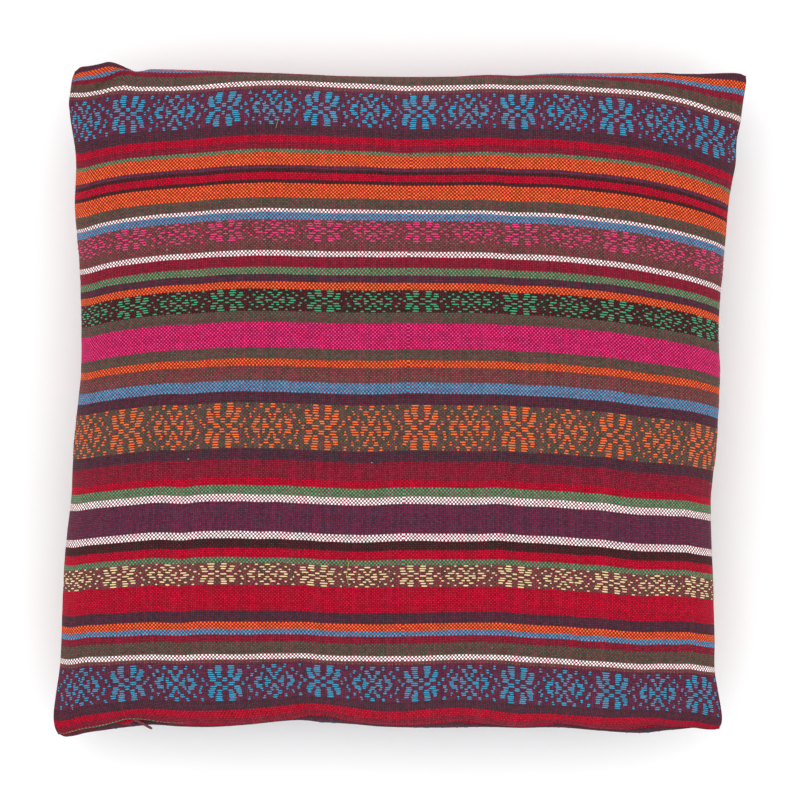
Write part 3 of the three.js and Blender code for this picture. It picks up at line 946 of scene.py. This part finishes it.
def weave_flowers(name, panel, v_of_pick):
    floats = flower_floats()
    count = len(floats)
    start, stop, pick = (np.array([f[i] for f in floats], float) for i in range(3))
    start = start + RANDOM.normal(0, TIP_SPREAD, count)
    stop = stop + RANDOM.normal(0, TIP_SPREAD, count)
    centre_v = v_of_pick(pick) + RANDOM.normal(0, ROW_SPREAD, count)
    width = FLOAT_WIDTH * RANDOM.uniform(*WIDTH_RANGE, count)
    light = RANDOM.uniform(*LIGHT_RANGE, count) * np.array([FLOAT_LIGHT[f[3]] for f in floats])
    tones = np.array([linear(YARNS[f[3]]) for f in floats])
    tones[:, :3] *= light[:, None]
    stations, lifts, widths = np.array(FLOAT_STATIONS).T
    sides, side_lifts = np.array(FLOAT_SIDES).T
    # Axes: float, station, side
    u = (start[:, None] + (stop - start)[:, None] * stations)[..., None] * END_PITCH + 0 * sides
    v = centre_v[:, None, None] + width[:, None, None] * widths[:, None] * sides
    inside = (u[:, 0, 0] > SEAM_CLEARANCE) & (u[:, -1, 0] < COVER_SIDE - SEAM_CLEARANCE)
    u, v, tones = u[inside], v[inside], tones[inside]
    points, normals = panel.at(u, v)
    lift = np.where(side_lifts > 0, lifts[:, None] * side_lifts, FLOAT_SINK)
    points = points + normals * lift[..., None]
    index = np.arange(u.size).reshape(u.shape)
    corners = (index[:, :-1, :-1], index[:, 1:, :-1], index[:, 1:, 1:], index[:, :-1, 1:])
    quads = np.stack(corners, -1).reshape(-1, 4)
    cloth = np.stack([u / END_PITCH, v / PICK_PITCH], -1)
    maps = [("Cloth", cloth), ("OFBake", float_bake_map(len(u), stations, sides))]
    piece = mesh_object(name, points.reshape(-1, 3), quads, maps, FLOWER_YARN)
    paint(piece, np.broadcast_to(tones[:, None, None], (*u.shape, 4)))
    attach(piece, "root")


weave_flowers("front_flowers", front, lambda pick: (pick + 0.5) * PICK_PITCH)
weave_flowers("back_flowers", back, lambda pick: (BACK_FIRST_PICK - pick) * PICK_PITCH)

# Zip pull

PULL_START = np.array([-173.4, -204.4, 53.6])
PULL_END = np.array([-158.9, -212.1, 50.8])
# Along the pull: (place, half its width, half its thickness)
PULL_SECTIONS = (
    (0.0, 0.55, 0.42), (0.08, 0.6, 0.45), (0.35, 0.62, 0.45), (0.6, 0.7, 0.45), (0.8, 0.84, 0.48),
    (0.9, 0.86, 0.48), (0.95, 0.78, 0.46), (0.98, 0.6, 0.42), (1.0, 0.3, 0.3),
)
PULL_STEPS = 48
PULL_SIDES = 20
PULL_DISH = 0.16
# Powers that square the section off, across and through it
PULL_SQUARE_ACROSS = 0.5
PULL_SQUARE_THROUGH = 0.6
PULL_COLOUR = (92, 14, 32)
PULL_TIP_COLOUR = (40, 12, 20)
# Colour of the painted highlight along the tab's edges
PULL_PAINTED_HIGHLIGHT_COLOUR = (196, 120, 124)


def pull_material():
    graph = Graph("maroon_enamel_painted_highlight")
    along, across = graph.map_places("Pull")
    edge = graph.math("ABSOLUTE", across)
    chips_and_highlight_noise = graph.noise(graph.scaled(along, across, 9.0, 2.0, seed=4.0), detail=3.0)
    # Painted highlight along both edges of the tab, its edge broken up by the same noise that bumps the
    # enamel
    painted_edge_highlight = graph.between(graph.math("MULTIPLY_ADD", chips_and_highlight_noise, 0.25, edge), 0.86, 1.0)
    tip = graph.between(along, 0.72, 0.95, 0.0, 0.55)
    colour = graph.mix(tip, linear(PULL_COLOUR), linear(PULL_TIP_COLOUR))
    graph.bump(chips_and_highlight_noise, 0.2, 0.0001)
    graph.surface({
        "Base Color": graph.mix(painted_edge_highlight, colour, linear(PULL_PAINTED_HIGHLIGHT_COLOUR)),
        "Roughness": graph.math("MULTIPLY_ADD", chips_and_highlight_noise, 0.08, 0.38),
    })
    return graph.material


def build_pull():
    """A slim dished tab, its sections rounded, drawn from under the lip to its tip."""
    along = np.linspace(0, 1, PULL_STEPS)
    places, widths, depths = np.array(PULL_SECTIONS).T
    width, depth = np.interp(along, places, widths), np.interp(along, places, depths)
    turn = np.linspace(0, 2 * np.pi, PULL_SIDES, endpoint=False)
    side = np.sign(np.cos(turn)) * np.abs(np.cos(turn)) ** PULL_SQUARE_ACROSS
    rise = np.sign(np.sin(turn)) * np.abs(np.sin(turn)) ** PULL_SQUARE_THROUGH
    axis = PULL_END - PULL_START
    aside = unit(np.cross([0, 0, 1], axis))
    above = unit(np.cross(axis, aside))
    dish = PULL_DISH * (1 - side ** 2) * (rise > 0)
    points = PULL_START + along[:, None, None] * axis
    points = points + (width[:, None] * side)[..., None] * aside
    points = points + (depth[:, None] * rise - dish * np.sin(np.pi * along)[:, None])[..., None] * above
    ends = np.stack([points[0].mean(0), points[-1].mean(0)])
    index, after, quads = tube(PULL_STEPS, PULL_SIDES)
    caps = [(after[0, k], index[0, k], index.size) for k in range(PULL_SIDES)]
    caps += [(index[-1, k], after[-1, k], index.size + 1) for k in range(PULL_SIDES)]
    faces = [tuple(int(n) for n in face) for face in [*quads, *caps]]
    mesh = bpy.data.meshes.new("zip_pull_tab")
    mesh.from_pydata([tuple(p) for p in np.concatenate([points.reshape(-1, 3), ends]) * MM], [], faces)
    layer = mesh.uv_layers.new(name="Pull")
    map_u = np.append(np.repeat(along, PULL_SIDES), [0, 1])
    map_v = np.append(np.tile(side, PULL_STEPS), [0, 0])
    for loop in mesh.loops:
        layer.data[loop.index].uv = (map_u[loop.vertex_index], map_v[loop.vertex_index])
    mesh.shade_smooth()
    mesh.materials.append(pull_material())
    piece = bpy.data.objects.new("zip_pull_tab", mesh)
    bpy.context.scene.collection.objects.link(piece)
    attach(piece, "root")
    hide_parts("zip_pull")


build_pull()

# Loose fibres

# Places that a loose fibre runs through (u, v, lift off the front cloth), its colour and its half thickness
FIBRES = (
    (((145.6, 59.4, 0.3), (145.4, 61.2, 0.8), (144.9, 63.2, 0.6), (144.3, 64.8, 0.2)), (186, 170, 100), 0.12),
    (
        ((195.3, 337.5, 0.3), (195.9, 342, 1.0), (194.9, 347, 1.2), (195.5, 352, 0.9), (196.5, 356, 0.3)),
        (196, 176, 104), 0.13,
    ),
)
FIBRE_STEPS = 24
FIBRE_SIDES = 6
# How much of a half round is cut off at each tip, so that it isn't sharp
FIBRE_TIP = 0.08


def fibre_material():
    graph = Graph("loose_fibre")
    tone = graph.node("ShaderNodeAttribute", attribute_name="Yarn").outputs["Color"]
    light = graph.math("MULTIPLY_ADD", graph.grain(scale=900.0, detail=1.0), 0.3, 0.85)
    graph.surface({"Base Color": graph.tinted(tone, light), "Roughness": 0.8, "Specular IOR Level": 0.1})
    return graph.material


def build_fibres():
    """The few fibres that stand off the front, as thin tubes through places on the cloth."""
    points, quads, tones = [], [], []
    turn = np.linspace(0, 2 * np.pi, FIBRE_SIDES, endpoint=False)
    for number, (stops, colour, thickness) in enumerate(FIBRES):
        at = np.linspace(0, len(stops) - 1, FIBRE_STEPS)
        u, v, lift = (curve(list(enumerate(values)))(at) for values in np.array(stops, float).T)
        base, normal = front.at(u, v)
        middle = base + normal * lift[:, None]
        aside = np.cross(unit(np.gradient(middle, axis=0)), normal)
        radius = thickness * np.sin(np.pi * blend(FIBRE_TIP, 1 - FIBRE_TIP, at / at[-1])) ** 0.5
        ring = np.cos(turn)[None, :, None] * aside[:, None] + np.sin(turn)[None, :, None] * normal[:, None]
        points.append((middle[:, None] + ring * radius[:, None, None]).reshape(-1, 3))
        quads.append(tube(FIBRE_STEPS, FIBRE_SIDES, first=number * FIBRE_STEPS * FIBRE_SIDES)[2])
        tones.append(np.tile(linear(colour), (FIBRE_STEPS * FIBRE_SIDES, 1)))
    piece = mesh_object("loose_fibres", np.concatenate(points), np.concatenate(quads), [], fibre_material())
    paint(piece, np.concatenate(tones))
    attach(piece, "root")


build_fibres()

# Floor, light and camera

FLOOR_SIDE = 12000.0
WORLD_STRENGTH = 1.25
# Soft round lights: (name, place and diameter in metres, watts)
LIGHTS = (("key_light", (-1.1, 1.3, 2.2), 1.6, 20), ("fill_light", (1.4, -0.8, 2.0), 2.0, 8))
LIGHT_TARGET = (0, 0, 0.05)
FRAME_WIDTH = 514.0
SENSOR = 36.0
# The camera's place over the pillow, its height counted from the seam
CAMERA_X = 0.32
CAMERA_Y = -0.96
CAMERA_RISE = 5997.0


def floor_material():
    graph = Graph("studio_floor")
    tone = graph.math("MULTIPLY_ADD", graph.grain(scale=3.0, detail=2.0), 0.01, 0.965)
    graph.surface({"Base Color": graph.grey(tone), "Roughness": 1.0, "Specular IOR Level": 0.0})
    return graph.material


def area_light(name, place, size, power):
    data = bpy.data.lights.new(name, "AREA")
    data.shape = "DISK"
    data.size = size
    data.energy = power
    made = bpy.data.objects.new(name, data)
    bpy.context.scene.collection.objects.link(made)
    made.location = place
    x, y, z = np.subtract(LIGHT_TARGET, place)
    made.rotation_euler = (0.0, -np.arctan2(np.hypot(x, y), -z), np.arctan2(y, x) + np.pi)


floor_corners = np.array([[-1, -1, 0], [1, -1, 0], [1, 1, 0], [-1, 1, 0]], float) * FLOOR_SIDE / 2
floor = mesh_object("floor", floor_corners, np.array([[0, 1, 2, 3]]), [], floor_material())

world = bpy.data.worlds.new("studio")
world.use_nodes = True
background = world.node_tree.nodes["Background"]
background.inputs["Color"].default_value = (1.0, 1.0, 1.0, 1.0)
background.inputs["Strength"].default_value = WORLD_STRENGTH
bpy.context.scene.world = world

for light in LIGHTS:
    area_light(*light)

camera_data = bpy.data.cameras.new("camera")
camera_data.lens = CAMERA_RISE * SENSOR / FRAME_WIDTH
camera_data.sensor_width = SENSOR
camera_data.clip_end = 50.0
camera = bpy.data.objects.new("camera", camera_data)
camera.location = (CAMERA_X * MM, CAMERA_Y * MM, (EQUATOR_HEIGHT + CAMERA_RISE) * MM)
bpy.context.scene.collection.objects.link(camera)
bpy.context.scene.camera = camera
bpy.context.scene.view_settings.view_transform = "Standard"
